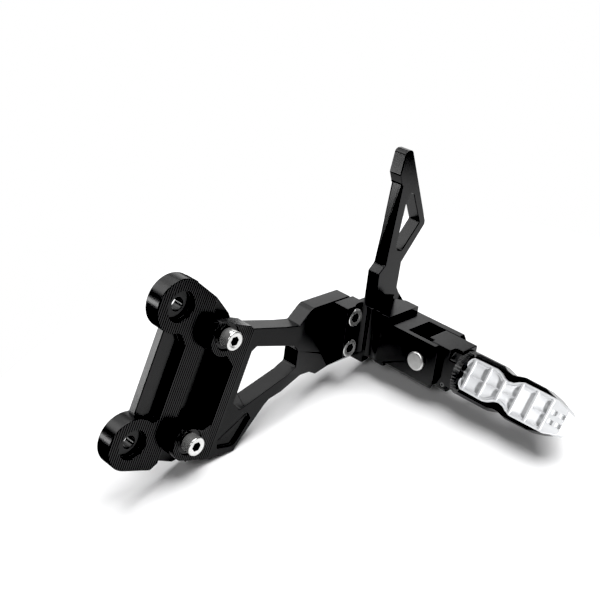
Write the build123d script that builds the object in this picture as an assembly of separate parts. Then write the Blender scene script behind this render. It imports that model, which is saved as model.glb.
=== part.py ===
"""Folding rider foot peg on its bolt-on bracket, with a heel guard.

Millimetres. X points outward from the motorcycle, along the mounting bolts and the peg.
Y points rearward along the bracket arm. Z points up.
The origin is the lower mounting bore, on the face that touches the frame.
"""
import math
import os

from build123d import *

# ---- mounting plate ---------------------------------------------------------
BOSS_SPACING = 92.0        # between the two mounting bores
BOSS_LEAN = 69.1           # angle of the bore line above +Y, degrees
BOSS_R = 18.0
PLATE_T = 12.0             # thickness at the bosses and at the lined face
BORE_D = 8.5
CBORE_D = 20.0
CBORE_DEPTH = 4.0
WEB_X = (0.5, 6.5)         # thin web on the forward side of the rib
FLOOR_X = 7.0              # sunk floor that the arm root sits on
FLANGE_BACK_X = 1.5
RIB_T = (14.3, 29.8)       # raised rib, across the bore line

# ---- arm --------------------------------------------------------------------
ARM_FRONT_X = 21.4         # lined strip at the root
ARM_THICK = 12.7
BLOCK_X = (17.5, 30.2)     # end block that carries the peg carrier
STRIP_T = 60.0             # the arm bends outward along this line
BEND_END_T = 96.0
SCREW_T = 38.0
SCREW_S = (6.5, 79.0)
PAD_R = 13.7
SPOT_D = 18.0
SPOT_DEPTH = 1.2
POCKET_DEPTH = 1.0         # shallow part of the pocket below the window
SLOT_DEPTH = 2.8           # its deeper channel

# ---- M8 cap screws ----------------------------------------------------------
M8_D = 8.0
M8_HEAD_D = 13.0
M8_HEAD_H = 8.0
M8_KEY = 6.0
M8_KEY_DEPTH = 4.5
ARM_SCREW_L = 20.0
CARRIER_SCREW_L = 20.0
THREAD_GAP = 0.02
CARRIER_SCREWS = ((159.1, 56.0), (157.2, 33.4))

# ---- peg carrier ------------------------------------------------------------
FLANGE_X = 43.0
FLANGE_Y = (149.5, 167.0)
FLANGE_TOP = 65.5
SIDE_Y = (171.0, 202.0)    # outer width of the fork
LEDGE_X = 61.3
LEDGE_TOP = 61.0
FORK_X = 104.0
FORK_TOP = 57.0
FORK_BOTTOM = 24.0
SLOT_Y = (175.1, 196.7)
SLOT_X = 76.0
PIVOT_X = 88.7
PIVOT_Z = 40.7
BOTTOM_CHAMFER = 3.4

# ---- heel guard -------------------------------------------------------------
GUARD_X = (28.6, 38.6)
GUARD_SCREWS = ((184.0, 38.0), (204.5, 38.0))
CSK_HEAD_D = 12.0
CSK_D = 6.0
CSK_L = 16.0

# ---- pivot pin, clip and return spring --------------------------------------
PIN_D = 8.0
PIN_HEAD_D = 13.2
PIN_HEAD_H = 1.8
PIN_END_Y = 206.0
PIN_RUN = 0.04             # radial running clearance in the knuckle
CLIP_Y = 202.4
CLIP_T = 1.2
CLIP_R = 7.5
SPRING_R = 8.6
SPRING_WIRE = 1.8
SPRING_PITCH = 2.3
SPRING_TURNS = 2.0
SPRING_Y = 176.6
SPRING_POCKET_R = 10.6
SPRING_POCKET_Y = 183.0
SPRING_LEG_Y = 178.6       # the spring's leg stands clear of the knuckle up to here

# ---- knuckle and grip -------------------------------------------------------
SIDE_GAP = 0.35
KNUCKLE_TOP = 57.0
KNUCKLE_BOTTOM = 25.2
KNUCKLE_R = 12.2
KNUCKLE_FRONT = 116.7
SPIGOT_R = 7.5
SPIGOT_END = 128.5
NECK_X = 111.0             # in front of here the knuckle is round, apart from a flat nose on top
NECK_R = 14.6
NOSE_Y = 181.4
KNUCKLE_BEVEL = 3.0
GRUB_X = 108.5             # small screw in the side of the knuckle
GRUB_Z = 30.5
GRUB_R = 1.5
GRIP_Y = 186.4
GRIP_Z = 40.7
GRIP_X = (123.5, 190.5)
TREAD_TILT = 58.0          # the tread faces forward and up by this turn about the peg
GRIP_TOP = 8.0             # height of the black body above the peg axis
GRIP_BOTTOM = -13.0
COLLAR_X = (117.0, 123.5)  # fluted collar behind the grip
COLLAR_R = 15.4
FLUTE_COUNT = 44
FLUTE_R = 0.55
SET_SCREW_X = 126.2        # holds the grip on its spigot, from below
SET_SCREW_R = 2.0
PAD_TOP = 11.6
PAD_BASE = 9.4
RIB_X = (127.1, 139.4, 151.6, 163.4, 174.6, 185.8)
RIB_W = 1.7
TIP_X = 200.8
PAD_SCREW_X = (133.5, 180.0)

A = math.radians(BOSS_LEAN)
UY, UZ = math.cos(A), math.sin(A)


def st(s, t):
    """Distance s along the bore line and t behind it, as (Y, Z)."""
    return (s * UY + t * UZ, s * UZ - t * UY)


def slab(points, x0, x1):
    """A flat (Y, Z) outline given thickness along X."""
    face = make_face(Polyline(*[(0, y, z) for y, z in points], close=True))
    return Pos(x0, 0, 0) * extrude(face, amount=x1 - x0, dir=(1, 0, 0))


def slab_st(points, x0, x1):
    return slab([st(s, t) for s, t in points], x0, x1)


def rod_x(r, x0, x1, y, z):
    return Pos((x0 + x1) / 2, y, z) * Rot(0, 90, 0) * Cylinder(r, x1 - x0)


def rod_y(r, y0, y1, x, z):
    return Pos(x, (y0 + y1) / 2, z) * Rot(90, 0, 0) * Cylinder(r, y1 - y0)


def block(x, y, z):
    """A box from three (low, high) pairs."""
    return Pos((x[0] + x[1]) / 2, (y[0] + y[1]) / 2, (z[0] + z[1]) / 2) * Box(
        x[1] - x[0], y[1] - y[0], z[1] - z[0])


def side_x(points, y0, y1):
    """A flat (X, Z) outline given thickness along Y."""
    face = make_face(Polyline(*[(x, 0, z) for x, z in points], close=True))
    return Pos(0, y0, 0) * extrude(face, amount=y1 - y0, dir=(0, 1, 0))


def cap_screw(x_seat, length, y, z):
    """M8 socket cap screw, head outward along +X."""
    head = rod_x(M8_HEAD_D / 2, x_seat, x_seat + M8_HEAD_H, y, z)
    rim = head.edges().filter_by(GeomType.CIRCLE).sort_by(Axis.X)[-1]
    head = chamfer(rim, 0.8)
    key = RegularPolygon(M8_KEY / 2, 6, major_radius=False)
    socket = extrude(Plane.YZ * key, amount=M8_KEY_DEPTH + 1)
    head -= Pos(x_seat + M8_HEAD_H - M8_KEY_DEPTH, y, z) * socket
    shank = rod_x(M8_D / 2, x_seat - length, x_seat, y, z)
    tip = shank.edges().filter_by(GeomType.CIRCLE).sort_by(Axis.X)[0]
    return head + chamfer(tip, 0.8)


# ---- mounting plate ---------------------------------------------------------
def make_mount_plate():
    low, high = st(0, 0), st(BOSS_SPACING, 0)
    plate = rod_x(BOSS_R, 0, PLATE_T, *low) + rod_x(BOSS_R, 0, PLATE_T, *high)
    rib = [(-18, 0), (-18, 22), (-13, 26.5), (5, 26.5), (16, RIB_T[1]), (92, RIB_T[1]), (101, 27),
           (109, 6), (100, -16), (81.5, -13.5), (73.6, 8.8), (67, RIB_T[0]), (17, RIB_T[0]), (12, 0)]
    plate += slab_st(rib, 0, PLATE_T)
    web = [(6, -2), (84, -2), (84, 20), (6, 20)]
    plate += slab_st(web, *WEB_X)
    flange = [(-13, 20), (-15, 44), (-9, 56), (80, 57), (90.5, 47), (99.8, 32), (100, 22)]
    plate += slab_st(flange, FLANGE_BACK_X, FLOOR_X)
    bores = []
    for y, z in (low, high):
        bores.append(rod_x(BORE_D / 2, -1, PLATE_T + 1, y, z))
        bores.append(rod_x(CBORE_D / 2, PLATE_T - CBORE_DEPTH, PLATE_T + 1, y, z))
    for s in SCREW_S:
        bores.append(rod_x(M8_D / 2 + THREAD_GAP, -1, FLOOR_X + 1, *st(s, SCREW_T)))
    return plate - bores


# ---- arm bracket ------------------------------------------------------------
ARM_TOP = [(85.9, 59.8), (109.5, 56.5), (119.8, 55.8), (127.5, 64.6), (130, 66), (165, 66)]
ARM_BOTTOM = [(165, 18), (155.5, 17), (150, 16), (138.7, 13.5), (132.5, 17), (123.9, 17.4),
              (97.9, 6.6), (94.3, 3), (76.3, -19.7), (72.4, -25.6)]
WINDOW = [(88.3, 46.8), (116.6, 41.7), (119.2, 37.5), (118.7, 25.3), (114.6, 23.6), (76.3, 3.9),
          (72, 9.3), (84.8, 43.9)]
LOW_POCKET = [(60.6, -15.8), (60.6, -21.0), (71.5, -21.8), (74.5, -18.0), (84.2, -3.4), (82.6, 0.2),
              (78.6, 0.9), (62.8, -11.2)]
LOW_CHANNEL = LOW_POCKET[:6] + [(79.6, -2.6), (69.0, -14.6)]


def make_arm():
    root = [st(-6, STRIP_T), st(-7.0, 40), st(15.4, 40), st(15.6, 47), st(18.5, 51.5),
            st(60, 51.5), st(66.5, 43), st(88, 40), st(88, 56)]
    outline = root + ARM_TOP + ARM_BOTTOM
    arm = slab(outline, FLOOR_X, BLOCK_X[1])
    band = [(-6.8, 15.4), (65.5, 88)]
    for s, (s0, s1) in zip(SCREW_S, band):
        pad = rod_x(PAD_R, FLOOR_X, BLOCK_X[1], *st(s, SCREW_T))
        arm += pad & slab_st([(s0, 10), (s1, 10), (s1, 60), (s0, 60)], 0, 50)
    corners = arm.edges().filter_by(Axis.X)
    soft = [e for e in corners if e.center().Y > 90 and e.center().Z < 30]
    arm = fillet(ShapeList(soft), 1.5)
    window = slab(WINDOW, 0, 50)
    window = fillet(window.edges().filter_by(Axis.X), 1.8)
    arm -= window
    # bend the plate outward: flat root, slope, flat end block
    bend = [(FLOOR_X, 10), (ARM_FRONT_X, 10), (ARM_FRONT_X, STRIP_T), (BLOCK_X[1], BEND_END_T),
            (BLOCK_X[1], 170), (BLOCK_X[0], 170), (BLOCK_X[0], BEND_END_T), (FLOOR_X, STRIP_T)]
    profile = make_face(Polyline(*[(x, *st(-120, t)) for x, t in bend], close=True))
    arm = arm & extrude(profile, amount=320, dir=(0, UY, UZ))
    # the pads reach over the raised rib, so their undersides are cut back
    arm -= slab_st([(-30, 0), (120, 0), (120, RIB_T[1] + 0.3), (-30, RIB_T[1] + 0.3)],
                   0, PLATE_T + 0.02)
    for s in SCREW_S:
        y, z = st(s, SCREW_T)
        arm -= rod_x(SPOT_D / 2, ARM_FRONT_X - SPOT_DEPTH, 60, y, z)
        arm -= rod_x(M8_D / 2 + 0.25, 0, 60, y, z)
    for y, z in CARRIER_SCREWS:
        arm -= rod_x(M8_D / 2 + THREAD_GAP, 0, 60, y, z)
    # two-step pocket below the window, its floors parallel to the sloping face
    for outline, depth in ((LOW_POCKET, POCKET_DEPTH), (LOW_CHANNEL, SLOT_DEPTH)):
        room = [(ARM_FRONT_X - depth, STRIP_T), (BLOCK_X[1] - depth, BEND_END_T), (80, BEND_END_T),
                (80, STRIP_T)]
        above = make_face(Polyline(*[(x, *st(-120, t)) for x, t in room], close=True))
        pocket = slab(outline, 0, 60)
        pocket = fillet(pocket.edges().filter_by(Axis.X), 1.0)
        arm -= pocket & extrude(above, amount=320, dir=(0, UY, UZ))
    return arm


# ---- peg carrier ------------------------------------------------------------
GUARD_FOOT = [(182.2, 57.0), (176.3, 47.5), (176.3, 29.6), (211.2, 29.6), (211.2, 50.5),
              (207.6, 60.5), (204.2, 66.0)]
GUARD_BLADE = [(204.8, 84.4), (224.8, 109.5), (224.6, 112.0), (200.0, 166.4), (193.3, 166.4),
               (190.3, 150.4), (193.2, 143.8), (186.8, 85.2), (182.4, 81.2)]
GUARD_TIP_R = 3.2
GUARD_HOLE = [(204.5, 136.0), (207.6, 134.4), (218.6, 112.0), (203.2, 94.0), (198.0, 95.6),
              (197.0, 99.4), (200.6, 127.5)]


def make_carrier():
    back = [(151, 15), (175.4, 18.8), (178.9, 20.5), (204.6, 19.8), (210, 21.9), (213.4, 27.8),
            (215.5, 49.2), (215.0, 52.4), (211.6, 52.4), (208.0, LEDGE_TOP), (173.5, LEDGE_TOP),
            (171.0, 57.5), (167.5, FLANGE_TOP), (FLANGE_Y[0], FLANGE_TOP), (FLANGE_Y[0], 17)]
    body = slab(back, BLOCK_X[1], FLANGE_X)
    fork = [(36, FORK_BOTTOM), (FORK_X - 3.5, FORK_BOTTOM), (FORK_X, FORK_BOTTOM + 9), (FORK_X, 54),
            (FORK_X - 2, FORK_TOP), (LEDGE_X, FORK_TOP), (LEDGE_X, LEDGE_TOP), (36, LEDGE_TOP)]
    body += side_x(fork, *SIDE_Y)
    # the root narrows behind the guard, and the flange is bevelled below and in front
    body -= Pos(49, SIDE_Y[1] + 6.6, 0) * Rot(0, 0, 35) * Box(24, 12, 200)
    under = [(BLOCK_X[1] - 1, 0), (BLOCK_X[1] - 1, 15.5), (FLANGE_X, 28), (FLANGE_X + 1, 28),
             (FLANGE_X + 1, 0)]
    body -= side_x(under, 140, SIDE_Y[0])
    # lengthwise chamfers of the fork and the ledge
    b = BOTTOM_CHAMFER
    for y, inward in ((SIDE_Y[0], 1), (SIDE_Y[1], -1)):
        corner = make_face(Polyline((0, y, FORK_BOTTOM), (0, y, FORK_BOTTOM + b),
                                    (0, y + inward * b, FORK_BOTTOM), close=True))
        body -= Pos(62, 0, 0) * extrude(corner, amount=60, dir=(1, 0, 0))
    # upright scallop between flange and fork
    body -= Pos(49.5, SIDE_Y[0] - 7.6, 0) * Cylinder(9.0, 200)
    # pocket that holds the guard, and the fork slot
    body -= slab(GUARD_FOOT + [(204.2, 90), (182.2, 90)], BLOCK_X[1] - 2, GUARD_X[1] + 0.02)
    body -= block((SLOT_X, FORK_X + 5), SLOT_Y, (0, 100))
    for y, z in CARRIER_SCREWS:
        body -= rod_x(M8_D / 2 + 0.25, 0, 100, y, z)
        body -= rod_x(M8_HEAD_D / 2 + 0.5, FLANGE_X - M8_HEAD_H - 0.3, 100, y, z)
    for y, z in GUARD_SCREWS:
        body -= rod_x(CSK_D / 2 + THREAD_GAP, 0, GUARD_X[0] + CSK_L + 1, y, z)
    body -= rod_y(PIN_D / 2 + THREAD_GAP, 160, 215, PIVOT_X, PIVOT_Z)
    return body


# ---- heel guard -------------------------------------------------------------
def make_guard():
    guard = slab(GUARD_FOOT + GUARD_BLADE, *GUARD_X)
    corners = guard.edges().filter_by(Axis.X)
    guard = fillet(ShapeList([e for e in corners if e.center().Z > 160]), GUARD_TIP_R)
    corners = guard.edges().filter_by(Axis.X)
    guard = fillet(ShapeList([e for e in corners if 108 < e.center().Z < 115]), 1.5)
    hole = slab(GUARD_HOLE, 0, 60)
    guard -= fillet(hole.edges().filter_by(Axis.X), 1.3)
    # the forward edge is relieved on both faces between the two thick ends
    for x, side in ((GUARD_X[0], -1), (GUARD_X[1], 1)):
        near = make_face(Polyline((x + side, 180.5, 86), (x - side * 3.0, 180.5, 86),
                                  (x - side * 3.0, 186.6, 86), (x, 188.2, 86), (x + side, 188.2, 86),
                                  close=True))
        lean = (193.2 - 186.8) / (143.8 - 85.2)
        guard -= extrude(near, amount=57.5, dir=(0, lean, 1))
    for y, z in GUARD_SCREWS:
        guard -= rod_x(CSK_D / 2 + 0.2, 0, 60, y, z)
        cone = Rot(0, 90, 0) * Cone(CSK_HEAD_D / 2 + 0.1, CSK_D / 2 + 0.1, 3.0)
        guard -= Pos(GUARD_X[0] + 1.5, y, z) * cone
    return guard


def make_guard_screws():
    out = []
    for y, z in GUARD_SCREWS:
        head = Pos(GUARD_X[0] + 1.5, y, z) * Rot(0, 90, 0) * Cone(CSK_HEAD_D / 2, CSK_D / 2, 3.0)
        shank = rod_x(CSK_D / 2, GUARD_X[0] + 2.9, GUARD_X[0] + CSK_L, y, z)
        key = extrude(Plane.YZ * RegularPolygon(2.0, 6, major_radius=False), amount=2.2)
        out.append(head + shank - Pos(GUARD_X[0] - 0.1, y, z) * key)
    return Compound(children=out)


# ---- pivot ------------------------------------------------------------------
def make_pin():
    face_y = SIDE_Y[0]
    pin = rod_y(PIN_D / 2, face_y - 0.1, PIN_END_Y, PIVOT_X, PIVOT_Z)
    head = rod_y(PIN_HEAD_D / 2, face_y - PIN_HEAD_H, face_y, PIVOT_X, PIVOT_Z)
    rim = head.edges().filter_by(GeomType.CIRCLE).sort_by(Axis.Y)[0]
    pin += fillet(rim, 1.2)
    ring = rod_y(PIN_D, CLIP_Y - 0.05, CLIP_Y + CLIP_T + 0.05, PIVOT_X, PIVOT_Z)
    ring -= rod_y(PIN_D / 2 - 0.8, CLIP_Y - 1, CLIP_Y + 3, PIVOT_X, PIVOT_Z)
    return pin - ring


def make_clip():
    clip = rod_y(CLIP_R, CLIP_Y, CLIP_Y + CLIP_T, PIVOT_X, PIVOT_Z)
    clip -= rod_y(CLIP_R - 2.2, CLIP_Y - 1, CLIP_Y + 3, PIVOT_X, PIVOT_Z)
    for turn in (0, 90, 180):
        a = math.radians(turn)
        tab = Pos(4.6 * math.cos(a), 0, 4.6 * math.sin(a)) * Rot(0, -turn, 0) * Box(2.6, CLIP_T, 3.0)
        clip += Pos(PIVOT_X, CLIP_Y + CLIP_T / 2, PIVOT_Z) * tab
    mouth = Pos(PIVOT_X, CLIP_Y + 0.5, PIVOT_Z - 7) * Box(6.4, 4, 8)
    core = rod_y(PIN_D / 2 - 0.78, CLIP_Y - 1, CLIP_Y + 3, PIVOT_X, PIVOT_Z)
    return clip - mouth - core


def make_spring():
    height = SPRING_PITCH * SPRING_TURNS
    path = Helix(SPRING_PITCH, height, SPRING_R)
    start = path @ 0
    profile = Plane(origin=start, z_dir=path % 0) * Circle(SPRING_WIRE / 2)
    coil = sweep(profile, path=path)
    coil = Pos(PIVOT_X, SPRING_Y, PIVOT_Z) * Rot(0, 180, 0) * Rot(-90, 0, 0) * coil
    leg = Pos(PIVOT_X - SPRING_R, SPRING_Y, PIVOT_Z + 6.2) * Cylinder(SPRING_WIRE / 2, 12.4)
    knee = Pos(PIVOT_X - SPRING_R, SPRING_Y, PIVOT_Z) * Sphere(SPRING_WIRE / 2)
    return coil + leg + knee


# ---- knuckle ----------------------------------------------------------------
def make_knuckle():
    y0, y1 = SLOT_Y[0] + SIDE_GAP, SLOT_Y[1] - SIDE_GAP
    rear = SLOT_X + 0.35
    a = math.radians(125)
    tangent = (PIVOT_X + KNUCKLE_R * math.cos(a), PIVOT_Z + KNUCKLE_R * math.sin(a))
    side = [(PIVOT_X + 2.3, KNUCKLE_TOP), (KNUCKLE_FRONT, KNUCKLE_TOP), (KNUCKLE_FRONT, KNUCKLE_BOTTOM),
            (rear + 3, KNUCKLE_BOTTOM), (rear, KNUCKLE_BOTTOM + 4), (rear, PIVOT_Z - 2),
            (PIVOT_X - 10, PIVOT_Z - 2), (PIVOT_X - 6, PIVOT_Z + 4), tangent]
    body = side_x(side, y0, y1)
    body += rod_y(KNUCKLE_R, y0, y1, PIVOT_X, PIVOT_Z)
    for y, inward in ((y0, 1), (y1, -1)):
        corner = make_face(Polyline((0, y, KNUCKLE_BOTTOM), (0, y, KNUCKLE_BOTTOM + KNUCKLE_BEVEL),
                                    (0, y + inward * KNUCKLE_BEVEL, KNUCKLE_BOTTOM), close=True))
        body -= Pos(PIVOT_X, 0, 0) * extrude(corner, amount=60, dir=(1, 0, 0))
    neck = rod_x(NECK_R, NECK_X, KNUCKLE_FRONT, GRIP_Y, GRIP_Z)
    neck += block((NECK_X, KNUCKLE_FRONT), (NOSE_Y, y1), (GRIP_Z, KNUCKLE_TOP))
    body -= block((NECK_X, KNUCKLE_FRONT + 1), (y0 - 1, y1 + 1), (0, 80)) - neck
    body += rod_x(SPIGOT_R, KNUCKLE_FRONT - 0.5, SPIGOT_END, GRIP_Y, GRIP_Z)
    body -= rod_y(SPRING_POCKET_R, y0 - 1, SPRING_POCKET_Y, PIVOT_X, PIVOT_Z)
    leg_room = [(-30, -4), (0, -4), (7.4, 18.5), (-30, 40)]
    body -= side_x([(PIVOT_X + x, PIVOT_Z + z) for x, z in leg_room], y0 - 1, SPRING_LEG_Y)
    body -= rod_y(PIN_D / 2 + PIN_RUN, 160, 215, PIVOT_X, PIVOT_Z)
    body -= rod_y(GRUB_R + THREAD_GAP, y0 - 2, y0 + 9, GRUB_X, GRUB_Z)
    return body


def make_grub():
    y0 = SLOT_Y[0] + SIDE_GAP
    grub = rod_y(GRUB_R, y0 + 0.4, y0 + 8.4, GRUB_X, GRUB_Z)
    key = extrude(Plane.XZ * RegularPolygon(0.75, 6, major_radius=False), amount=2.5, both=True)
    return grub - Pos(GRUB_X, y0, GRUB_Z) * key


# ---- grip and tread ---------------------------------------------------------
# In the peg's own frame: X along the peg, w across the tread, n out of the tread.
BODY_HALF = [(123.5, 15.4), (143.0, 15.4), (148.0, 13.2), (152.0, 12.4), (155.5, 13.0), (160.0, 14.5),
             (176.0, 14.2), (184.5, 11.6), (190.5, 9.6)]
PAD_HALF = [(122.2, 7.4), (125.2, 11.2), (142.5, 11.5), (145.5, 10.6), (149.0, 8.4), (153.0, 7.4),
            (157.0, 8.2), (160.0, 10.2), (163.5, 11.5), (187.5, 11.4), (195.0, 8.8), (199.4, 6.6),
            (TIP_X, 4.2)]


def peg_frame(solid):
    """From (X, w, n) to the part frame."""
    return Pos(0, GRIP_Y, GRIP_Z) * Rot(TREAD_TILT, 0, 0) * solid


def waisted(half, n0, n1):
    """A plate whose half width follows the list, from n0 to n1."""
    ring = [(x, w) for x, w in half] + [(x, -w) for x, w in reversed(half)]
    return Pos(0, 0, n0) * extrude(make_face(Polyline(*ring, close=True)), amount=n1 - n0)


def make_collar():
    mid = (COLLAR_X[0] + COLLAR_X[1]) / 2
    collar = rod_x(COLLAR_R, *COLLAR_X, GRIP_Y, GRIP_Z)
    for i in range(FLUTE_COUNT):
        a = 2 * math.pi * i / FLUTE_COUNT
        collar -= rod_x(FLUTE_R, COLLAR_X[0] - 1, mid + 2.2,
                        GRIP_Y + COLLAR_R * math.cos(a), GRIP_Z + COLLAR_R * math.sin(a))
    collar -= rod_x(SPIGOT_R + THREAD_GAP, COLLAR_X[0] - 1, COLLAR_X[1] + 1, GRIP_Y, GRIP_Z)
    # room for the end of the tread
    collar -= peg_frame(Pos(COLLAR_X[1], 0, GRIP_TOP + 10) * Box(2.8, 40, 20))
    return collar


def make_grip():
    core = waisted(BODY_HALF, GRIP_BOTTOM, GRIP_TOP)
    # rounded underneath: kept inside a fat round bar
    length = GRIP_X[1] - GRIP_X[0]
    core = core & (Pos(GRIP_X[0] + length / 2, 0, 0) * Rot(0, 90, 0) * Cylinder(15.7, length))
    belly = make_face(Polyline((GRIP_X[0], -14), (GRIP_X[0], 12), (GRIP_X[1] + 1, 12), (GRIP_X[1] + 1, -4),
                               (180, -11), (162, -13), (156, -10.5), (147, -10.5), (141, -13.5),
                               (132, -14), close=True))
    core = core & Pos(0, 30, 0) * Rot(90, 0, 0) * extrude(belly, amount=60)
    grip = peg_frame(core)
    grip -= rod_x(SPIGOT_R + THREAD_GAP, GRIP_X[0] - 1, SPIGOT_END + 0.5, GRIP_Y, GRIP_Z)
    grip -= peg_frame(Pos(SET_SCREW_X, 0, -14) * Cylinder(SET_SCREW_R + THREAD_GAP, 16))
    for x in PAD_SCREW_X:
        grip -= peg_frame(Pos(x, 0, 0) * Cylinder(2.2, 60))
        grip -= peg_frame(Pos(x, 0, -12.0) * Cylinder(3.8, 14))
    return grip


def make_set_screw():
    """Short headless screw, flush below the grip."""
    bottom, top = -12.6, -SPIGOT_R - 0.05
    screw = Pos(SET_SCREW_X, 0, (bottom + top) / 2) * Cylinder(SET_SCREW_R, top - bottom)
    key = extrude(RegularPolygon(1.0, 6, major_radius=False), amount=2)
    return peg_frame(screw - Pos(SET_SCREW_X, 0, bottom - 0.1) * key)


def make_pad():
    pad = waisted(PAD_HALF, GRIP_TOP, PAD_BASE)
    inner = [(x, max(w - 1.3, 0.5)) for x, w in PAD_HALF]
    rim = waisted(PAD_HALF, PAD_BASE - 0.1, PAD_TOP - 0.7) - waisted(inner, PAD_BASE - 1, PAD_TOP + 1)
    pad += rim
    limit = waisted(PAD_HALF, PAD_BASE - 1, PAD_TOP + 1)
    for x in RIB_X:
        pad += (Pos(x, 0, (PAD_BASE + PAD_TOP) / 2) * Box(RIB_W, 40, PAD_TOP - PAD_BASE + 0.2)) & limit
    spine = Pos((RIB_X[0] + TIP_X) / 2 - 3, 0, (PAD_BASE + PAD_TOP) / 2)
    pad += (spine * Box(TIP_X - RIB_X[0], 1.5, PAD_TOP - PAD_BASE)) & limit
    tip = waisted([(186.0, 11.4)] + PAD_HALF[-4:], PAD_BASE - 0.1, PAD_TOP - 0.9)
    pad += tip
    nose = waisted([(GRIP_X[1] + 0.1, 9.6)] + PAD_HALF[-3:], -2.0, GRIP_TOP + 0.1)
    slant = make_face(Polyline((GRIP_X[1], -6), (TIP_X + 1, 5), (TIP_X + 1, -6), close=True))
    nose -= Pos(0, 20, 0) * Rot(90, 0, 0) * extrude(slant, amount=40)
    pad += nose
    for x in PAD_SCREW_X:
        pad -= Pos(x, 0, GRIP_TOP) * Cylinder(2.0, 3.2)
    return peg_frame(pad)


def make_pad_screws():
    out = []
    for x in PAD_SCREW_X:
        shank = Pos(x, 0, 1.7) * Cylinder(1.98, 15.4)
        head = Pos(x, 0, -7.1) * Cylinder(3.5, 4.0)
        key = Pos(x, 0, -9.2) * extrude(RegularPolygon(1.5, 6, major_radius=False), amount=2)
        out.append(peg_frame(head + shank - key))
    return Compound(children=out)


def main():
    os.makedirs("parts", exist_ok=True)
    arm_seat = ARM_FRONT_X - SPOT_DEPTH
    flange_seat = FLANGE_X - M8_HEAD_H - 0.3
    nodes = {
        "mount_plate": make_mount_plate(),
        "arm_bracket": make_arm(),
        "peg_carrier": make_carrier(),
        "heel_guard": make_guard(),
        "arm_screws": Compound(children=[cap_screw(arm_seat, ARM_SCREW_L, *st(s, SCREW_T)) for s in SCREW_S]),
        "carrier_screws": Compound(
            children=[cap_screw(flange_seat, CARRIER_SCREW_L, y, z) for y, z in CARRIER_SCREWS]),
        "guard_screws": make_guard_screws(),
        "pivot_pin": make_pin(),
        "pin_clip": make_clip(),
        "return_spring": make_spring(),
        "peg_knuckle": make_knuckle(),
        "grub_screw": make_grub(),
        "grip_collar": make_collar(),
        "grip_body": make_grip(),
        "grip_set_screw": make_set_screw(),
        "tread_pad": make_pad(),
        "pad_screws": make_pad_screws(),
    }
    for name, shape in nodes.items():
        solids = shape.solids()
        box = shape.bounding_box()
        print(f"{name:15s} solids {len(solids)}  volume {shape.volume:9.1f}  "
              f"X {box.min.X:.1f}..{box.max.X:.1f}  Y {box.min.Y:.1f}..{box.max.Y:.1f}  "
              f"Z {box.min.Z:.1f}..{box.max.Z:.1f}")
        export_step(shape, f"parts/{name}.step")


main()
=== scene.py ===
"""Looks of the folding foot peg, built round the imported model. Lengths are written in millimetres
and turned into metres by MM."""
import math
import bpy
import bmesh
from mathutils import Matrix, Vector


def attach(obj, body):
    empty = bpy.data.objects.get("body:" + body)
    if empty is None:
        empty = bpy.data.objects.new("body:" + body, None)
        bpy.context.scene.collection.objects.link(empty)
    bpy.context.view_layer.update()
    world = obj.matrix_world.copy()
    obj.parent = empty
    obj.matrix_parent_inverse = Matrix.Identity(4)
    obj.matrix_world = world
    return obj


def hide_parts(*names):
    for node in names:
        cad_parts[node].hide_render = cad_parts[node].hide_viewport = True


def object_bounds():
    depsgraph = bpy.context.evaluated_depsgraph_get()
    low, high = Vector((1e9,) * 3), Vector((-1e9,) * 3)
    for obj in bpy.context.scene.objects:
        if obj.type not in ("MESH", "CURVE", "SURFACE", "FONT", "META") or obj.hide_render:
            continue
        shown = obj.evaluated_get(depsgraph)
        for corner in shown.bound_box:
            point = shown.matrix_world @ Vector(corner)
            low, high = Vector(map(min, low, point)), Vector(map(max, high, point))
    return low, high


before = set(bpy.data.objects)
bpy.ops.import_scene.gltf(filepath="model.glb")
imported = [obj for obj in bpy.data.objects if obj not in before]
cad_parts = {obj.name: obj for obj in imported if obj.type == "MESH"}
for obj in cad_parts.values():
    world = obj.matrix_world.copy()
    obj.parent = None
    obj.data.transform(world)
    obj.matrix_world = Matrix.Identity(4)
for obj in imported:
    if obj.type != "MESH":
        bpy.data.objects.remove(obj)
cad_low, cad_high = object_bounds()
MM = 0.001

# ---- driving sizes, in millimetres -------------------------------------------
BOSS_LEAN = math.radians(69.1)      # lean of the line through both mounting bores
PLATE_FACE_X = 12.0
STRIP_FACE_X = 21.4
LINE_PITCH = 1.75                   # milled lines: spacing, width and depth
LINE_W = 0.95
LINE_DEPTH = 0.45
LINE_CLEAR = 0.2                    # how far their cutters stand proud of the face
PLATE_LINES = (-18.0, 29.5, -32.0, 124.0)               # across from, to; along from, to
STRIP_LINES = (24.5, 59.6, -14.0, 94.0)
ROUNDING = {"mount_plate": 0.6, "arm_bracket": 0.6, "peg_carrier": 0.4, "heel_guard": 0.6,
            "guard_screws": 0.15, "peg_knuckle": 0.5, "grip_collar": 0.15, "grip_body": 0.6,
            "grip_set_screw": 0.1, "pad_screws": 0.1}       # other nodes keep their edges
BEVEL_SEGMENTS = 3
BEVEL_ANGLE = math.radians(28.0)    # edges sharper than this are rounded
SHARP_ANGLE = math.radians(34.0)    # edges sharper than this stay crisp in shading
FLAT_ANGLE = math.radians(0.6)      # faces that meet at less than this are merged
FINE_FLAT_ANGLE = math.radians(0.05)
WELD = 0.002                        # points closer than this are one
ARM_SCREWS = ((6.5, 38.0), (79.0, 38.0))                # along and across the bore line
ARM_SEAT_X = 20.2
CARRIER_SCREWS = ((159.1, 56.0), (157.2, 33.4))         # Y, Z
CARRIER_SEAT_X = 34.7
SHANK_R, SHANK_LENGTH = 4.0, 20.0   # M8 socket cap screws
TIP_R, TIP_CHAMFER = 3.2, 0.8
HEAD_R, HEAD_H = 6.5, 8.0
HEAD_FOOT, HEAD_ROUND = 0.4, 0.9    # chamfer at the seat, rounding at the face
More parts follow.
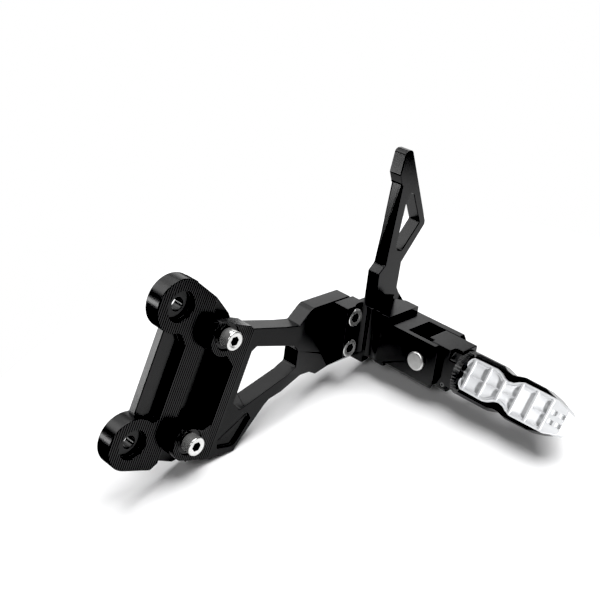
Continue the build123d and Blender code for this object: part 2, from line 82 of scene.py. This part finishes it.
DISH_R, DISH_BOTTOM_R, DISH_DEPTH = 4.4, 3.6, 0.4       # shallow dish round the socket
SOCKET_ACROSS, SOCKET_FLOOR = 6.0, 3.2                  # across flats; floor over the seat
SOCKET_SHADE = (3.0, 7.5)            # painted shade inside, from and to over the seat
OVERCUT = 0.5
PEG_Y, PEG_Z = 186.4, 40.7          # axis of the grip
TREAD_TILT = math.radians(58.0)

# ---- tread, in the peg's own frame: x along it, w across it, n out of it -----
TREAD_BASE = 8.0
TREAD_TOP = 11.55
TREAD_RIBS = (127.1, 139.4, 151.6, 163.4, 174.6, 185.8)
WIDE_CELL = TREAD_RIBS[3:5]         # the cell with one wide channel
RIB_HALF, RIB_BREAK, RIB_SLOPE = 0.5, 0.2, 0.6          # crest, and its broken edges
SHOULDER, SHOULDER_DROP, SHOULDER_SLOPE = 0.8, 0.12, 0.2    # chamfer inboard of each rib
GROOVE_W, GROOVE_DEPTH = 0.35, 1.0  # fine groove outboard of each rib
EDGE_W, EDGE_DROP = 1.1, 0.35       # the bar along each side
EDGE_BREAK, EDGE_SLOPE = 0.35, 1.2  # its sloped outer edge
STRIP_W, STRIP_DROP = 1.5, 0.6      # flat strip between side bar and channels
STRIP_GROOVE = (0.55, 0.85)         # the fine groove in it, from and to
STRIP_GROOVE_DEPTH = 1.05
SPINE_HALF = 0.35                   # wall between two channels
CHANNEL_DROP, CHANNEL_DEPTH = 0.85, 2.25                # rim under the top; depth under the rim
RAMP_START = 0.12                   # part of its depth that a channel starts with
LEAD_IN = 5.0                       # the first cell is counted from this far before the tread
WALL_W = 1.6                        # sloped side walls of the wide channel
POCKETS_X = (186.6, 197.6)          # small pockets on the nose
POCKET_PITCH = 5.6
POCKET_LENGTH = (1.2, 4.4)          # from and to, in each pitch
POCKET_SIDE = (1.7, 4.4)            # from and to, out from the middle
POCKET_MARGIN, POCKET_DEPTH = 0.5, 1.1
NOSE_SLOPE = 1.1
GRID_ALONG, GRID_ACROSS = 200, 88   # even divisions of the tread's top
STEP = 0.02                         # length in which the grid takes a step in height
# half the tread's width at points along it
TREAD_HALF = ((122.3, 7.3), (123.2, 9.6), (125.2, 11.1), (142.5, 11.4), (145.5, 10.5), (149.0, 8.4),
              (153.0, 7.4), (157.0, 8.2), (160.0, 10.1), (163.5, 11.4), (187.5, 11.3), (195.0, 8.8),
              (199.4, 6.6), (200.7, 4.2))

# ---- camera ------------------------------------------------------------------
CAMERA_AT = Vector((440.6, -322.3, 359.9)) * MM
CAMERA_LOOKS = Vector((-0.618, 0.6597, -0.4276))
CAMERA_ROLL = math.radians(6.1)
CAMERA_LENS = 61.84


# ---- small helpers -----------------------------------------------------------
def from_bore_line(s, t):
    """Distance s along the bore line and t behind it, as (Y, Z) in millimetres."""
    uy, uz = math.cos(BOSS_LEAN), math.sin(BOSS_LEAN)
    return s * uy + t * uz, s * uz - t * uy


def add_object(name, mesh):
    piece = bpy.data.objects.new(name, mesh)
    bpy.context.scene.collection.objects.link(piece)
    return piece


def mesh_from(name, bm):
    bmesh.ops.recalc_face_normals(bm, faces=bm.faces)
    mesh = bpy.data.meshes.new(name)
    bm.to_mesh(mesh)
    bm.free()
    return mesh


def apply_modifiers(piece):
    graph = bpy.context.evaluated_depsgraph_get()
    mesh = bpy.data.meshes.new_from_object(piece.evaluated_get(graph))
    piece.modifiers.clear()
    piece.data = mesh
    return piece


def smooth(piece):
    """Smooth shading that keeps flat faces flat and stays crisp at sharp edges."""
    mesh = piece.data
    for polygon in mesh.polygons:
        polygon.use_smooth = True
    bm = bmesh.new()
    bm.from_mesh(mesh)
    bmesh.ops.triangulate(bm, faces=[f for f in bm.faces if len(f.verts) > 4], ngon_method="BEAUTY")
    for edge in bm.edges:
        edge.smooth = len(edge.link_faces) == 2 and edge.calc_face_angle(0) < SHARP_ANGLE
    bm.to_mesh(mesh)
    bm.free()
    step = piece.modifiers.new("flats", "WEIGHTED_NORMAL")
    step.keep_sharp = True
    step.weight = 100
    step.use_face_influence = True
    bpy.context.view_layer.update()
    return apply_modifiers(piece)


def cut(piece, cutter):
    """Takes the cutter's shape out of the piece."""
    step = piece.modifiers.new("cut", "BOOLEAN")
    step.operation = "DIFFERENCE"
    step.solver = "MANIFOLD"
    step.object = cutter
    bpy.context.view_layer.update()
    apply_modifiers(piece)
    bpy.data.objects.remove(cutter)


def prism(bm, outline, low, high, place=None):
    """A closed bar with the given outline of (a, b) points, from low to high along the first axis."""
    place = place or (lambda x, a, b: (x, a, b))
    near = [bm.verts.new(Vector(place(low, a, b)) * MM) for a, b in outline]
    far = [bm.verts.new(Vector(place(high, a, b)) * MM) for a, b in outline]
    bm.faces.new(near)
    bm.faces.new(list(reversed(far)))
    for i in range(len(outline)):
        j = (i + 1) % len(outline)
        bm.faces.new([near[i], far[i], far[j], near[j]])


def finish_piece(piece, body, slot_name, *nodes):
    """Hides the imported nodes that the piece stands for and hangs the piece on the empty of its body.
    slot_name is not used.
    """
    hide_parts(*nodes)
    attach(piece, body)


def refined(node, split=False):
    """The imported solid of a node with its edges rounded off, as a piece of its own. Nearly flat
    faces are merged first. With split only truly flat ones are, and then cut into triangles."""
    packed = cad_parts[node].data
    mesh = bpy.data.meshes.new(node + "_detail")
    mesh.from_pydata([v.co for v in packed.vertices], [], [p.vertices[:] for p in packed.polygons])
    piece = add_object(node + "_detail", mesh)
    bm = bmesh.new()
    bm.from_mesh(mesh)
    bmesh.ops.remove_doubles(bm, verts=bm.verts, dist=WELD * MM)
    flat = FINE_FLAT_ANGLE if split else FLAT_ANGLE
    bmesh.ops.dissolve_limit(bm, angle_limit=flat, verts=bm.verts, edges=bm.edges)
    if split:
        bmesh.ops.triangulate(bm, faces=bm.faces[:], ngon_method="BEAUTY")
    bm.to_mesh(mesh)
    bm.free()
    if node in ROUNDING:
        step = piece.modifiers.new("round", "BEVEL")
        step.width = ROUNDING[node] * MM
        step.segments = BEVEL_SEGMENTS
        step.limit_method = "ANGLE"
        step.angle_limit = BEVEL_ANGLE
        step.use_clamp_overlap = False
        step.miter_outer = "MITER_ARC"
        step.face_strength_mode = "FSTR_ALL"
        bpy.context.view_layer.update()
        apply_modifiers(piece)
    return piece


# ---- materials ---------------------------------------------------------------
def new_material(name):
    material = bpy.data.materials.new(name)
    material.use_nodes = True
    tree = material.node_tree
    shader = tree.nodes["Principled BSDF"]
    return material, tree, shader


def noise(tree, scale, detail=3.0, roughness=0.5, stretch=None):
    coords = tree.nodes.new("ShaderNodeTexCoord")
    texture = tree.nodes.new("ShaderNodeTexNoise")
    texture.inputs["Scale"].default_value = scale
    texture.inputs["Detail"].default_value = detail
    texture.inputs["Roughness"].default_value = roughness
    if stretch:
        mapping = tree.nodes.new("ShaderNodeMapping")
        mapping.inputs["Scale"].default_value = stretch
        tree.links.new(coords.outputs["Object"], mapping.inputs["Vector"])
        tree.links.new(mapping.outputs["Vector"], texture.inputs["Vector"])
    else:
        tree.links.new(coords.outputs["Object"], texture.inputs["Vector"])
    return texture.outputs["Fac"]


def ramp(tree, value, low, high, colour_low, colour_high):
    node = tree.nodes.new("ShaderNodeValToRGB")
    node.color_ramp.elements[0].position = low
    node.color_ramp.elements[0].color = (*colour_low, 1.0)
    node.color_ramp.elements[1].position = high
    node.color_ramp.elements[1].color = (*colour_high, 1.0)
    tree.links.new(value, node.inputs["Fac"])
    return node.outputs["Color"]


def spread(tree, value, low, high):
    node = tree.nodes.new("ShaderNodeMapRange")
    node.inputs["To Min"].default_value = low
    node.inputs["To Max"].default_value = high
    tree.links.new(value, node.inputs["Value"])
    return node.outputs["Result"]


def bump(tree, shader, height, strength, distance):
    node = tree.nodes.new("ShaderNodeBump")
    node.inputs["Strength"].default_value = strength
    node.inputs["Distance"].default_value = distance
    tree.links.new(height, node.inputs["Height"])
    tree.links.new(node.outputs["Normal"], shader.inputs["Normal"])


def black_anodised():
    """Fine bead-blasted, black anodised aluminium."""
    material, tree, shader = new_material("black_anodised")
    colour = ramp(tree, noise(tree, 240, 4), 0.35, 0.7, (0.002, 0.002, 0.0022), (0.004, 0.004, 0.0044))
    tree.links.new(colour, shader.inputs["Base Color"])
    tree.links.new(spread(tree, noise(tree, 90, 3), 0.17, 0.26), shader.inputs["Roughness"])
    shader.inputs["IOR"].default_value = 1.45
    shader.inputs["Specular IOR Level"].default_value = 0.30
    bump(tree, shader, noise(tree, 5200, 2), 0.25, 0.00002)
    return material


def silver_tread():
    """Machined, matt silver anodised aluminium."""
    material, tree, shader = new_material("silver_tread")
    lines = noise(tree, 420, 3, 0.6, (0.12, 1.0, 1.0))
    colour = ramp(tree, lines, 0.3, 0.75, (0.50, 0.508, 0.52), (0.58, 0.585, 0.595))
    tree.links.new(colour, shader.inputs["Base Color"])
    tree.links.new(spread(tree, noise(tree, 150, 3), 0.34, 0.48), shader.inputs["Roughness"])
    shader.inputs["Metallic"].default_value = 0.35
    bump(tree, shader, lines, 0.2, 0.00003)
    return material


def bright_steel(name, colour_low, colour_high, rough_low, rough_high, metallic=1.0):
    """Steel in patches between two shades and two roughnesses, with a fine grain."""
    material, tree, shader = new_material(name)
    colour = ramp(tree, noise(tree, 300, 3), 0.3, 0.7, colour_low, colour_high)
    tree.links.new(colour, shader.inputs["Base Color"])
    shader.inputs["Metallic"].default_value = metallic
    tree.links.new(spread(tree, noise(tree, 500, 3), rough_low, rough_high), shader.inputs["Roughness"])
    bump(tree, shader, noise(tree, 1500, 2), 0.08, 0.00002)
    return material


BLACK = black_anodised()
SILVER = silver_tread()
PLATED = bright_steel("plated_screw", (0.62, 0.62, 0.61), (0.72, 0.72, 0.71), 0.10, 0.20, 0.82)
PIN = bright_steel("pivot_pin_steel", (0.52, 0.52, 0.51), (0.62, 0.62, 0.61), 0.34, 0.44)
STEEL = bright_steel("spring_steel", (0.40, 0.40, 0.41), (0.52, 0.52, 0.53), 0.22, 0.34)
# dark steel of the grub screw; also the painted shade inside the screw sockets
DARK_STEEL_AND_SOCKET_SHADE = bright_steel("dark_steel_and_socket_shade", (0.10, 0.10, 0.10), (0.16, 0.16, 0.16), 0.22, 0.34)


def paint(piece, material):
    piece.data.materials.clear()
    piece.data.materials.append(material)
    for polygon in piece.data.polygons:
        polygon.material_index = 0
    return piece


# ---- milled lines ------------------------------------------------------------
def line_cutter(face_x, t_low, t_high, s_low, s_high):
    """Narrow V bars along the bore line, ready to be cut out of an outward face."""
    bm = bmesh.new()
    count = int((t_high - t_low) / LINE_PITCH)
    proud = face_x + LINE_CLEAR
    for i in range(count):
        t = t_low + (i + 0.5) * LINE_PITCH
        section = [(proud, t - LINE_W / 2), (face_x - LINE_DEPTH, t), (proud, t + LINE_W / 2)]
        prism(bm, section, s_low, s_high, lambda s, x, t: (x, *from_bore_line(s, t)))
    return add_object("cutter", mesh_from("cutter", bm))


# ---- screws ------------------------------------------------------------------
def lathe(bm, profile, at_y, at_z, turns=72):
    """A solid of revolution about X from (x, radius) points, closed on the axis at both ends."""
    rings = []
    for x, r in profile:
        ring = []
        for i in range(turns):
            a = 2 * math.pi * i / turns
            ring.append(bm.verts.new(Vector((x, at_y + r * math.cos(a), at_z + r * math.sin(a))) * MM))
        rings.append(ring)
    for near, far in zip(rings, rings[1:]):
        for i in range(turns):
            j = (i + 1) % turns
            bm.faces.new([near[i], near[j], far[j], far[i]])
    bm.faces.new(rings[0])
    bm.faces.new(rings[-1])


def rounded_corner(r, x, radius, steps=6):
    """The corner between the wall at radius r and the face at x, drawn as an arc."""
    out = []
    for i in range(steps + 1):
        a = math.pi / 2 * i / steps
        out.append((x - radius + radius * math.sin(a), r - radius + radius * math.cos(a)))
    return out


def hex_bar(low, high, across, at_y, at_z):
    bm = bmesh.new()
    r = across / 2 / math.cos(math.pi / 6)
    angles = [math.pi / 3 * k for k in range(6)]
    outline = [(at_y + r * math.cos(a), at_z + r * math.sin(a)) for a in angles]
    prism(bm, outline, low, high)
    return add_object("cutter", mesh_from("cutter", bm))


def cap_screws(name, seat_x, places):
    """Plated M8 socket cap screws, heads outward."""
    bm = bmesh.new()
    tip, face = seat_x - SHANK_LENGTH, seat_x + HEAD_H
    profile = [(tip, TIP_R), (tip + TIP_CHAMFER, SHANK_R), (seat_x, SHANK_R),
               (seat_x, HEAD_R - HEAD_FOOT), (seat_x + HEAD_FOOT, HEAD_R)]
    profile += rounded_corner(HEAD_R, face, HEAD_ROUND)
    profile += [(face, DISH_R), (face - DISH_DEPTH, DISH_BOTTOM_R)]
    for y, z in places:
        lathe(bm, profile, y, z)
    piece = add_object(name, mesh_from(name, bm))
    for y, z in places:
        cut(piece, hex_bar(seat_x + SOCKET_FLOOR, face + OVERCUT, SOCKET_ACROSS, y, z))
    return piece


def paint_socket_shade(piece, seat_x, places):
    """Painted shade inside the hexagon sockets: their deep faces take the dark steel."""
    piece.data.materials.append(DARK_STEEL_AND_SOCKET_SHADE)
    for polygon in piece.data.polygons:
        x, y, z = polygon.center / MM
        deep = SOCKET_SHADE[0] < x - seat_x < SOCKET_SHADE[1]
        if deep and any(math.hypot(y - b, z - c) < DISH_BOTTOM_R for b, c in places):
            polygon.material_index = 1


# ---- tread -------------------------------------------------------------------
def at_table(table, x):
    """Value of a (position, value) table at x, by straight lines."""
    for (x0, v0), (x1, v1) in zip(table, table[1:]):
        if x <= x1:
            return v0 + (v1 - v0) * max(0.0, (x - x0) / (x1 - x0))
    return table[-1][1]


def from_peg(x, w, n):
    """From the peg's own frame to part millimetres."""
    c, s = math.cos(TREAD_TILT), math.sin(TREAD_TILT)
    return x, PEG_Y + w * c - n * s, PEG_Z + w * s + n * c


def trough(u):
    """Cross-section of a round-bottomed channel: 0 in the middle, 1 at both walls."""
    return 1.0 - math.sqrt(max(0.0, 1.0 - u * u))


def cell_ramp(x):
    """How far the channels have gone down at x: they start shallow behind a rib and end deep."""
    for near, far in zip((TREAD_HALF[0][0] - LEAD_IN,) + TREAD_RIBS, TREAD_RIBS):
        if near < x < far:
            start = near + RIB_HALF + GROOVE_W
            done = (x - start) / (far - RIB_HALF - SHOULDER - start)
            return RAMP_START + (1.0 - RAMP_START) * min(1.0, max(0.0, done))
    return 0.0


def rib_height(x):
    """Height of the tread on a rib, its shoulder or its groove, or None between them."""
    for rib in TREAD_RIBS:
        if abs(x - rib) <= RIB_HALF:
            return TREAD_TOP - max(0.0, abs(x - rib) - RIB_HALF + RIB_BREAK) * RIB_SLOPE
        if -RIB_HALF - SHOULDER <= x - rib < -RIB_HALF:
            return TREAD_TOP - SHOULDER_DROP - (rib - RIB_HALF - x) * SHOULDER_SLOPE
        if RIB_HALF < x - rib <= RIB_HALF + GROOVE_W and x < TREAD_RIBS[-1]:
            return TREAD_TOP - GROOVE_DEPTH
    return None


def nose_height(x, w, side):
    """Height of the flat nose with its small pockets."""
    u, v = (x - POCKETS_X[0]) % POCKET_PITCH, abs(w)
    along = POCKETS_X[0] < x < POCKETS_X[1] and POCKET_LENGTH[0] < u < POCKET_LENGTH[1]
    across = POCKET_SIDE[0] < v < min(POCKET_SIDE[1], side - POCKET_MARGIN)
    return TREAD_TOP - EDGE_DROP - (POCKET_DEPTH if along and across else 0.0)


def tread_height(x, w, half):
    """Height of the milled tread over the peg's axis."""
    side = half - EDGE_W
    inner = side - STRIP_W
    depth = CHANNEL_DEPTH * cell_ramp(x)
    nose_drop = max(0.0, x - POCKETS_X[1]) * NOSE_SLOPE
    if abs(w) > side:
        return TREAD_TOP - EDGE_DROP - max(0.0, abs(w) - half + EDGE_BREAK) * EDGE_SLOPE - nose_drop
    rib = rib_height(x)
    if rib is not None:
        return rib
    if x > TREAD_RIBS[-1]:
        return nose_height(x, w, side) - nose_drop
    if side - abs(w) < STRIP_W:
        grooved = STRIP_GROOVE[0] < side - abs(w) < STRIP_GROOVE[1]
        return TREAD_TOP - (STRIP_GROOVE_DEPTH if grooved else STRIP_DROP)
    if WIDE_CELL[0] < x < WIDE_CELL[1]:
        return TREAD_TOP - CHANNEL_DROP - depth * min(1.0, (inner - abs(w)) / WALL_W)
    if abs(w) < SPINE_HALF:
        return TREAD_TOP - STRIP_DROP
    middle = (inner + SPINE_HALF) / 2
    u = (abs(w) - middle) / (middle - SPINE_HALF)
    return TREAD_TOP - CHANNEL_DROP - depth * (1.0 - trough(max(-1.0, min(1.0, u))))


def tread_stations():
    """Places along the tread where the grid has a row: even, and on both sides of every step."""
    x0, x1 = TREAD_HALF[0][0], TREAD_HALF[-1][0]
    stations = {round(x0 + (x1 - x0) * i / GRID_ALONG, 3) for i in range(GRID_ALONG + 1)}
    shoulder, groove = -RIB_HALF - SHOULDER, RIB_HALF + GROOVE_W
    for rib in TREAD_RIBS:
        for d in (shoulder - STEP, shoulder, -RIB_HALF - STEP, -RIB_HALF, -RIB_HALF + RIB_BREAK,
                  RIB_HALF - RIB_BREAK, RIB_HALF, RIB_HALF + STEP, groove, groove + STEP):
            stations.add(round(rib + d, 3))
    return sorted(stations)


def build_tread_mesh():
    """A milled plate: fine grid on top, straight sides, flat underneath."""
    bm = bmesh.new()
    stations = tread_stations()
    top, low = [], []
    for x in stations:
        half = at_table(TREAD_HALF, x)
        side = half - EDGE_W
        inner = [(-1 + 2 * j / GRID_ACROSS) * side for j in range(GRID_ACROSS + 1)]
        row = [-half, -half + EDGE_BREAK, -side - STEP, *inner, side + STEP, half - EDGE_BREAK, half]
        top.append([bm.verts.new(Vector(from_peg(x, w, tread_height(x, w, half))) * MM) for w in row])
        low.append([bm.verts.new(Vector(from_peg(x, w, TREAD_BASE)) * MM) for w in (-half, half)])
    last = len(top[0]) - 1
    for i in range(len(stations) - 1):
        for j in range(last):
            bm.faces.new([top[i][j], top[i + 1][j], top[i + 1][j + 1], top[i][j + 1]])
        bm.faces.new([low[i][0], low[i + 1][0], top[i + 1][0], top[i][0]])
        bm.faces.new([low[i][1], top[i][last], top[i + 1][last], low[i + 1][1]])
        bm.faces.new([low[i][1], low[i + 1][1], low[i + 1][0], low[i][0]])
    for i in (0, len(stations) - 1):
        bm.faces.new(low[i] + list(reversed(top[i])))
    add_tread_nose(bm)
    return mesh_from("tread", bm)


def add_tread_nose(bm):
    """The end of the tread folds down over the tip of the grip."""
    inset, chamfer = 0.25, 0.6
    top = TREAD_BASE + 0.3
    start, start_low, end_low, rise = 190.5, -6.0, -1.9, 0.9735
    rings = []
    for x in (190.7, 192.5, 195.0, 197.5, 199.4, 200.65):
        half = at_table(TREAD_HALF, x) - inset
        low = max(end_low, start_low + (x - start) * rise)
        corners = [(-half, low + chamfer), (-half + chamfer, low), (half - chamfer, low),
                   (half, low + chamfer), (half, top), (-half, top)]
        rings.append([bm.verts.new(Vector(from_peg(x, w, n)) * MM) for w, n in corners])
    for near, far in zip(rings, rings[1:]):
        for i in range(6):
            j = (i + 1) % 6
            bm.faces.new([near[i], near[j], far[j], far[i]])
    bm.faces.new(rings[0])
    bm.faces.new(rings[-1])


# ---- pieces ------------------------------------------------------------------
def dress(piece, material, body, slot_name, *nodes):
    """Shades, paints and places a finished piece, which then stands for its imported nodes."""
    finish_piece(paint(smooth(piece), material), body, slot_name, *nodes)


def build_bracket():
    """The pieces that stay: plate, arm, carrier, guard, their screws, the pin and the spring."""
    plate = refined("mount_plate")
    cut(plate, line_cutter(PLATE_FACE_X, *PLATE_LINES))
    dress(plate, BLACK, "bracket", "black_anodised", "mount_plate")
    arm = refined("arm_bracket")
    cut(arm, line_cutter(STRIP_FACE_X, *STRIP_LINES))
    dress(arm, BLACK, "bracket", "black_anodised", "arm_bracket")
    dress(refined("peg_carrier", split=True), BLACK, "bracket", "black_anodised", "peg_carrier")
    dress(refined("heel_guard"), BLACK, "bracket", "black_anodised", "heel_guard")
    for name, node, seat_x, places in (
            ("arm_cap_screws", "arm_screws", ARM_SEAT_X, [from_bore_line(*place) for place in ARM_SCREWS]),
            ("carrier_cap_screws", "carrier_screws", CARRIER_SEAT_X, CARRIER_SCREWS)):
        heads = cap_screws(name, seat_x, places)
        dress(heads, PLATED, "bracket", "plated_screw", node)
        # painted shade in the hexagon sockets
        paint_socket_shade(heads, seat_x, places)
    dress(refined("guard_screws"), PLATED, "bracket", "plated_screw", "guard_screws")
    dress(refined("pivot_pin"), PIN, "bracket", "plated_screw", "pivot_pin")
    for node in ("pin_clip", "return_spring"):
        dress(refined(node), STEEL, "bracket", "spring_steel", node)


def above_tread_floor():
    """A bar that trims the screws under the tread, so that they stay below its channels."""
    bm = bmesh.new()
    half, low, high = 4.0, TREAD_BASE + 0.4, 14.0
    prism(bm, [(-half, low), (half, low), (half, high), (-half, high)], 125, 190, from_peg)
    return add_object("cutter", mesh_from("cutter", bm))


def build_peg():
    """The pieces that fold: knuckle, collar, grip, tread and their screws."""
    for node in ("peg_knuckle", "grip_collar", "grip_body"):
        dress(refined(node), BLACK, "peg", "black_anodised", node)
    dress(refined("grub_screw"), DARK_STEEL_AND_SOCKET_SHADE, "peg", "spring_steel", "grub_screw")
    dress(refined("grip_set_screw"), STEEL, "peg", "spring_steel", "grip_set_screw")
    screws = refined("pad_screws")
    cut(screws, above_tread_floor())
    dress(screws, STEEL, "peg", "spring_steel", "pad_screws")
    dress(add_object("tread", build_tread_mesh()), SILVER, "peg", "silver_tread", "tread_pad")


# ---- stage -------------------------------------------------------------------
FLOOR_NORMAL = Vector((-0.05, -0.30, 0.953)).normalized()   # the object lies on it, leaning
FLOOR_R, FLOOR_SEGMENTS = 0.30, 96
FLOOR_GAP = 0.0003
ROOM_LIGHT = 0.03
# painted dark reflection on the paper's left front side
REFLECTION_SHADE_ALONG = (0.70, 0.71, 0.0)      # the painted dark reflection's edge is a soft step in this direction
REFLECTION_SHADE_EDGE = (-0.01, 0.05)
REFLECTION_SHADE = (0.03, 0.03, 0.03, 1.0)
BLACK_LEVEL = 0.012


def build_floor():
    bm = bmesh.new()
    bmesh.ops.create_circle(bm, cap_ends=True, segments=FLOOR_SEGMENTS, radius=FLOOR_R)
    floor = add_object("floor", mesh_from("floor", bm))
    normal = FLOOR_NORMAL
    lowest = min(normal @ vertex.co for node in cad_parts.values() for vertex in node.data.vertices)
    centre = Vector(((cad_low.x + cad_high.x) / 2, (cad_low.y + cad_high.y) / 2, 0))
    centre += normal * (lowest - FLOOR_GAP - normal @ centre)
    floor.matrix_world = Matrix.Translation(centre) @ normal.to_track_quat("Z", "Y").to_matrix().to_4x4()
    material, tree, shader = new_material("floor_paper")
    colour = ramp(tree, noise(tree, 9, 2), 0.3, 0.7, (0.93, 0.93, 0.935), (0.95, 0.95, 0.955))
    # painted reflection: the paper turns dark for glossy rays on its left front side
    tree.links.new(with_painted_reflection(tree, colour), shader.inputs["Base Color"])
    shader.inputs["Roughness"].default_value = 0.9
    shader.inputs["Specular IOR Level"].default_value = 0.1
    clear_from_below(tree, shader)
    floor.data.materials.append(material)


def clear_from_below(tree, shader):
    """The paper lies at a slant, so a low view from behind would meet its underside: that is clear."""
    geometry = tree.nodes.new("ShaderNodeNewGeometry")
    clear = tree.nodes.new("ShaderNodeBsdfTransparent")
    sides = tree.nodes.new("ShaderNodeMixShader")
    tree.links.new(geometry.outputs["Backfacing"], sides.inputs["Fac"])
    tree.links.new(shader.outputs["BSDF"], sides.inputs[1])
    tree.links.new(clear.outputs["BSDF"], sides.inputs[2])
    tree.links.new(sides.outputs["Shader"], tree.nodes["Material Output"].inputs["Surface"])


def with_painted_reflection(tree, colour):
    """The paper, with its left front side painted dark for glossy rays only, so the object shows a painted
    dark reflection there.
    """
    geometry = tree.nodes.new("ShaderNodeNewGeometry")
    along = tree.nodes.new("ShaderNodeVectorMath")
    along.operation = "DOT_PRODUCT"
    along.inputs[1].default_value = REFLECTION_SHADE_ALONG
    tree.links.new(geometry.outputs["Position"], along.inputs[0])
    edge = tree.nodes.new("ShaderNodeMapRange")
    edge.inputs["From Min"].default_value = REFLECTION_SHADE_EDGE[0]
    edge.inputs["From Max"].default_value = REFLECTION_SHADE_EDGE[1]
    edge.inputs["To Min"].default_value = 1.0
    edge.inputs["To Max"].default_value = 0.0
    tree.links.new(along.outputs["Value"], edge.inputs["Value"])
    path = tree.nodes.new("ShaderNodeLightPath")
    both = tree.nodes.new("ShaderNodeMath")
    both.operation = "MULTIPLY"
    tree.links.new(edge.outputs["Result"], both.inputs[0])
    tree.links.new(path.outputs["Is Glossy Ray"], both.inputs[1])
    mix = tree.nodes.new("ShaderNodeMix")
    mix.data_type = "RGBA"
    mix.inputs["B"].default_value = REFLECTION_SHADE
    tree.links.new(both.outputs["Value"], mix.inputs["Factor"])
    tree.links.new(colour, mix.inputs["A"])
    return mix.outputs["Result"]


def area_light(name, at, towards, size, power, size_y=None):
    data = bpy.data.lights.new(name, "AREA")
    data.energy = power
    data.size = size
    if size_y:
        data.shape = "RECTANGLE"
        data.size_y = size_y
    lamp = bpy.data.objects.new(name, data)
    bpy.context.scene.collection.objects.link(lamp)
    lamp.location = at
    lamp.rotation_euler = (Vector(towards) - Vector(at)).to_track_quat("-Z", "Y").to_euler()
    lamp.visible_camera = False
    return lamp


def sun_light(name, comes_from, strength, softness):
    data = bpy.data.lights.new(name, "SUN")
    data.energy = strength
    data.angle = math.radians(softness)
    lamp = bpy.data.objects.new(name, data)
    bpy.context.scene.collection.objects.link(lamp)
    lamp.rotation_euler = (-Vector(comes_from)).to_track_quat("-Z", "Y").to_euler()
    return lamp


def light_only(lamp, lit, pieces):
    """Keeps a lamp's light on the given pieces (lit), or off them and on all the rest."""
    group = bpy.data.collections.new(lamp.name + "_pieces")
    for piece in pieces:
        group.objects.link(piece)
    lamp.light_linking.receiver_collection = group
    if not lit:
        for link in group.collection_objects:
            link.light_linking.link_state = "EXCLUDE"


def build_world():
    """White behind the object, and a dim room for everything that it reflects."""
    world = bpy.data.worlds.new("studio")
    bpy.context.scene.world = world
    world.use_nodes = True
    tree = world.node_tree
    room = tree.nodes["Background"]
    room.inputs["Color"].default_value = (1.0, 1.0, 1.0, 1.0)
    room.inputs["Strength"].default_value = ROOM_LIGHT
    paper = tree.nodes.new("ShaderNodeBackground")
    paper.inputs["Color"].default_value = (1.0, 1.0, 1.0, 1.0)
    path = tree.nodes.new("ShaderNodeLightPath")
    mix = tree.nodes.new("ShaderNodeMixShader")
    tree.links.new(path.outputs["Is Camera Ray"], mix.inputs["Fac"])
    tree.links.new(room.outputs["Background"], mix.inputs[1])
    tree.links.new(paper.outputs["Background"], mix.inputs[2])
    tree.links.new(mix.outputs["Shader"], tree.nodes["World Output"].inputs["Surface"])


def build_lights():
    """Soft lamps all round. Only the top and front ones light the paper, so its shadows stay dark."""
    middle = (cad_low + cad_high) / 2
    peg_at = (0.160, 0.180, 0.045)
    floor, tread, collar = (bpy.data.objects[name] for name in ("floor", "tread", "grip_collar_detail"))
    light_only(sun_light("softbox_top", (0.10, 0.05, 1.0), 4.5, 55), False, [tread])
    light_only(area_light("tread_key", (0.482, 0.044, 0.130), peg_at, 0.035, 3.5), True, [tread])
    light_only(area_light("collar_glint", (-0.25, -0.20, 0.28), peg_at, 0.25, 3.0), True, [collar])
    area_light("softbox_front", (0.42, -0.75, 0.62), middle, 0.35, 2.5)
    for lamp in (area_light("softbox_back_left", (-0.75, 0.85, 0.42), middle, 0.8, 1.8, 0.5),
                 area_light("softbox_left", (-0.80, -0.75, 0.05), middle, 0.32, 2.6, 0.22),
                 area_light("softbox_left_front", (-0.50, -0.30, 0.62), middle, 0.4, 2.2),
                 area_light("softbox_left_high", (-0.52, 0.16, 0.74), middle, 0.6, 1.6, 0.35)):
        light_only(lamp, False, [floor])


def build_camera():
    data = bpy.data.cameras.new("camera")
    data.lens = CAMERA_LENS
    data.sensor_width = 36.0
    data.clip_start = 0.01
    camera = bpy.data.objects.new("camera", data)
    bpy.context.scene.collection.objects.link(camera)
    turn = CAMERA_LOOKS.to_track_quat("-Z", "Y").to_matrix() @ Matrix.Rotation(CAMERA_ROLL, 3, "Z")
    camera.matrix_world = Matrix.Translation(CAMERA_AT) @ turn.to_4x4()
    bpy.context.scene.camera = camera


def build_scene():
    build_camera()
    build_bracket()
    build_peg()
    build_floor()
    build_world()
    build_lights()
    view = bpy.context.scene.view_settings
    view.view_transform = "Standard"
    view.use_curve_mapping = True
    view.curve_mapping.black_level = (BLACK_LEVEL,) * 3
    view.curve_mapping.update()


build_scene()
